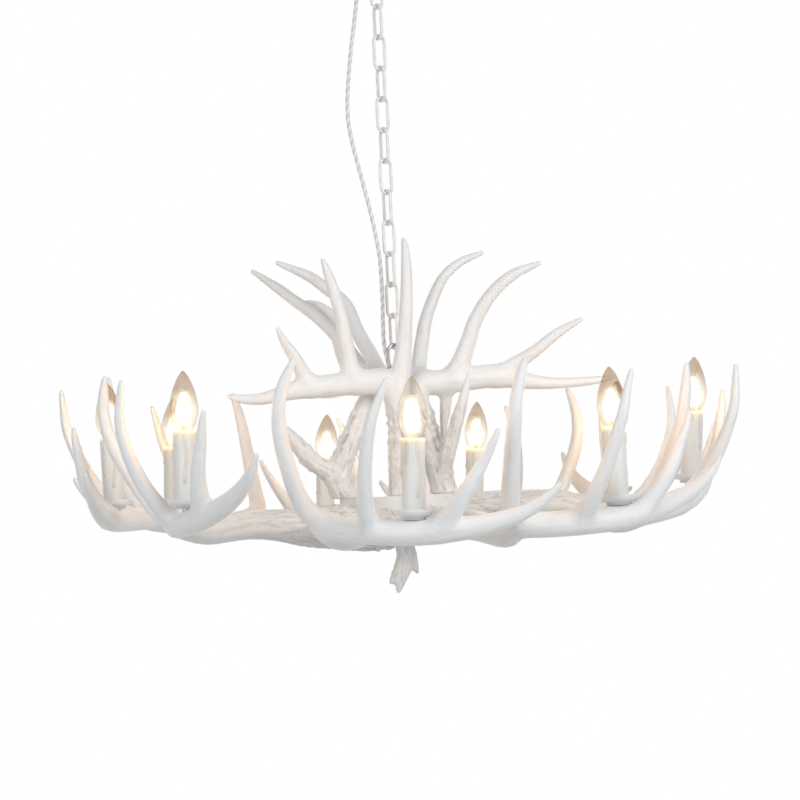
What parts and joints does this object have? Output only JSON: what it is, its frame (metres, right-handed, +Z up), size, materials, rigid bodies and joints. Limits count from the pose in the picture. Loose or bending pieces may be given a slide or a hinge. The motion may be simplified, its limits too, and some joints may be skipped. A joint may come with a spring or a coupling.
{
  "type": "chandelier",
  "caption": "Antler chandelier: a ring of branching cast antlers carrying candle lamps, a crown of antlers round a centre pipe, and a chain and flex up to a ceiling canopy.",
  "frame": {"origin": "on the ceiling, on the axis of the chain, midway between the two fixing screws", "axes": "+Z up, -Y toward the front as pictured, +X to the right"},
  "size_m": [0.9031, 0.9136, 0.8855],
  "materials": {
    "antler_resin": "satin",
    "white_paint": "satin",
    "zinc_steel": "satin",
    "insulator": "matt",
    "clear_flex": "gloss",
    "holder_plastic": "matt",
    "candle_ivory": "satin",
    "bulb_glass": "gloss"
  },
  "bodies": {
    "ceiling": {"ceiling_bracket": "zinc_steel", "bracket_nipple": "zinc_steel", "lock_nut": "zinc_steel", "terminal_block": "insulator", "canopy": "white_paint", "cord_grommet": "insulator", "canopy_loop": "white_paint"},
    "link_1": {"chain_link_01": "white_paint"},
    "hanging": {"chain_link_02": "white_paint", "chain_link_03": "white_paint", "chain_link_04": "white_paint", "chain_link_05": "white_paint", "chain_link_06": "white_paint", "chain_link_07": "white_paint", "chain_link_08": "white_paint", "chain_link_09": "white_paint", "chain_link_10": "white_paint", "chain_link_11": "white_paint", "chain_link_12": "white_paint", "hook_loop": "zinc_steel", "power_cord": "clear_flex", "centre_pipe": "zinc_steel", "crown_collar": "white_paint", "hub_lid": "white_paint", "hub_drum": "white_paint", "pipe_nut": "zinc_steel", "junction_block": "insulator", "hub_screws": "zinc_steel", "crown_antler_left": "antler_resin", "crown_antler_right": "antler_resin", "crown_antler_rear": "antler_resin", "ring_antler_1": "antler_resin", "ring_antler_2": "antler_resin", "ring_antler_3": "antler_resin", "ring_antler_4": "antler_resin", "ring_antler_5": "antler_resin", "ring_antler_6": "antler_resin", "ring_antler_7": "antler_resin", "ring_antler_8": "antler_resin", "ring_antler_9": "antler_resin", "finial": "antler_resin", "drip_pans": "white_paint", "lamp_nipples": "zinc_steel", "lampholders_front": "holder_plastic", "lampholder_4": "holder_plastic", "lampholder_5": "holder_plastic", "lampholder_6": "holder_plastic", "lampholder_7": "holder_plastic", "candle_sleeves": "candle_ivory"},
    "bulb_body_1": {"bulb_1": "bulb_glass"},
    "bulb_body_2": {"bulb_2": "bulb_glass"},
    "bulb_body_3": {"bulb_3": "bulb_glass"},
    "bulb_body_4": {"bulb_4": "bulb_glass"},
    "bulb_body_5": {"bulb_5": "bulb_glass"},
    "bulb_body_6": {"bulb_6": "bulb_glass"},
    "bulb_body_7": {"bulb_7": "bulb_glass"},
    "bulb_body_8": {"bulb_8": "bulb_glass"},
    "bulb_body_9": {"bulb_9": "bulb_glass"}
  },
  "joints": [
    {"name": "chain_sway", "type": "hinge", "parent": "ceiling", "child": "link_1", "pos_m": [0, 0, -0.0508], "axis": [-0.5446, 0.8387, 0], "range_deg": [-5, 5]},
    {"name": "chain_nod", "type": "hinge", "parent": "link_1", "child": "hanging", "pos_m": [0, 0, -0.0926], "axis": [0.8387, 0.5446, 0], "range_deg": [-5, 5]},
    {"name": "bulb_1_out", "type": "slide", "parent": "hanging", "child": "bulb_body_1", "axis": [0.0349, 0, 0.9994], "range_m": [0, 0.026]},
    {"name": "bulb_2_out", "type": "slide", "parent": "hanging", "child": "bulb_body_2", "axis": [-0.0175, 0, 0.9998], "range_m": [0, 0.026]},
    {"name": "bulb_3_out", "type": "slide", "parent": "hanging", "child": "bulb_body_3", "axis": [0.0785, 0, 0.9969], "range_m": [0, 0.026]},
    {"name": "bulb_4_out", "type": "slide", "parent": "hanging", "child": "bulb_body_4", "axis": [0.0523, 0, 0.9986], "range_m": [0, 0.026]},
    {"name": "bulb_5_out", "type": "slide", "parent": "hanging", "child": "bulb_body_5", "axis": [0.0785, 0, 0.9969], "range_m": [0, 0.026]},
    {"name": "bulb_6_out", "type": "slide", "parent": "hanging", "child": "bulb_body_6", "axis": [0.0698, 0, 0.9976], "range_m": [0, 0.026]},
    {"name": "bulb_7_out", "type": "slide", "parent": "hanging", "child": "bulb_body_7", "axis": [0.0523, 0, 0.9986], "range_m": [0, 0.026]},
    {"name": "bulb_8_out", "type": "slide", "parent": "hanging", "child": "bulb_body_8", "axis": [-0.0122, 0, 0.9999], "range_m": [0, 0.026]},
    {"name": "bulb_9_out", "type": "slide", "parent": "hanging", "child": "bulb_body_9", "axis": [0.0262, 0, 0.9997], "range_m": [0, 0.026]}
  ]
}
